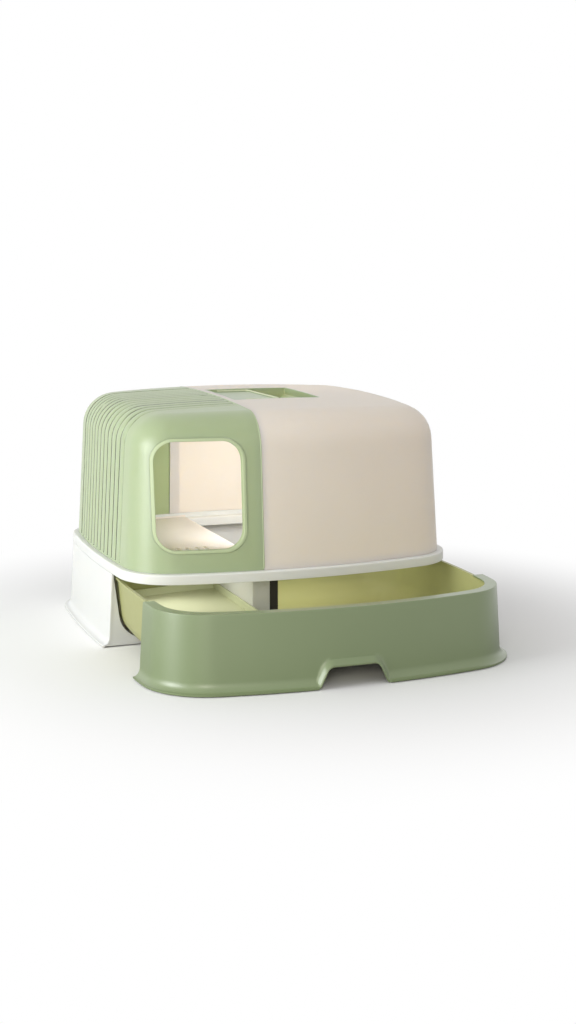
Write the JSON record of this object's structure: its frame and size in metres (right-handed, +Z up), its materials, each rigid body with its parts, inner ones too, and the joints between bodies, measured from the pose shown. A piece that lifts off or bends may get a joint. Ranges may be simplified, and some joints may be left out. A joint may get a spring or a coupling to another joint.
{
  "type": "drawer litter box",
  "caption": "Hooded cat litter box with a pull-out litter drawer, a two-tone lift-off hood, a side-set entry window and a flip-up roof handle.",
  "frame": {"origin": "on the floor, in the middle of the box as it stands with its drawer 185 mm open", "axes": "+Z up, the drawer opens towards -Y, +X to the right of a person facing the front"},
  "size_m": [0.5898, 0.74, 0.3799],
  "materials": {
    "white_shell": "satin moulded polypropylene",
    "green_shell": "satin moulded polypropylene",
    "pale_green_trim": "satin moulded polypropylene",
    "slide_plastic": "smooth low-friction plastic",
    "dark_seal": "matt rubber",
    "pad_rubber": "matt rubber",
    "pin_steel": "drawn steel rod"
  },
  "bodies": {
    "base": {"base_frame": "white_shell", "runner_left": "white_shell", "runner_right": "white_shell", "tie_bar": "white_shell", "floor_pads": "pad_rubber", "cross_beam": "white_shell"},
    "deck": {"entry_deck": "white_shell"},
    "drawer": {"drawer_front": "green_shell", "drawer_tub": "green_shell", "tub_glides": "slide_plastic", "drawer_stop": "slide_plastic", "divider": "white_shell", "divider_seal": "dark_seal"},
    "step_tray": {"step_tray": "pale_green_trim"},
    "hood": {"hood_entry_shell": "green_shell", "hood_main_shell": "white_shell", "seam_strip": "white_shell", "window_bezel": "pale_green_trim", "handle_recess": "green_shell", "handle_pin": "pin_steel"},
    "handle": {"handle_flap": "green_shell"}
  },
  "joints": [
    {"name": "drawer_slide", "type": "slide", "parent": "base", "child": "drawer", "axis": [0, -1, 0], "range_m": [-0.185, 0.046]},
    {"name": "hood_lift", "type": "slide", "parent": "base", "child": "hood", "axis": [0, 0, 1], "range_m": [0, 0.25]},
    {"name": "deck_lift", "type": "slide", "parent": "base", "child": "deck", "axis": [0, 0, 1], "range_m": [0, 0.05]},
    {"name": "step_tray_lift", "type": "slide", "parent": "drawer", "child": "step_tray", "axis": [0, 0, 1], "range_m": [0, 0.045]},
    {"name": "handle_hinge", "type": "hinge", "parent": "hood", "child": "handle", "pos_m": [-0.0485, 0.0975, 0.3725], "axis": [0, -1, 0], "range_deg": [0, 90]}
  ]
}
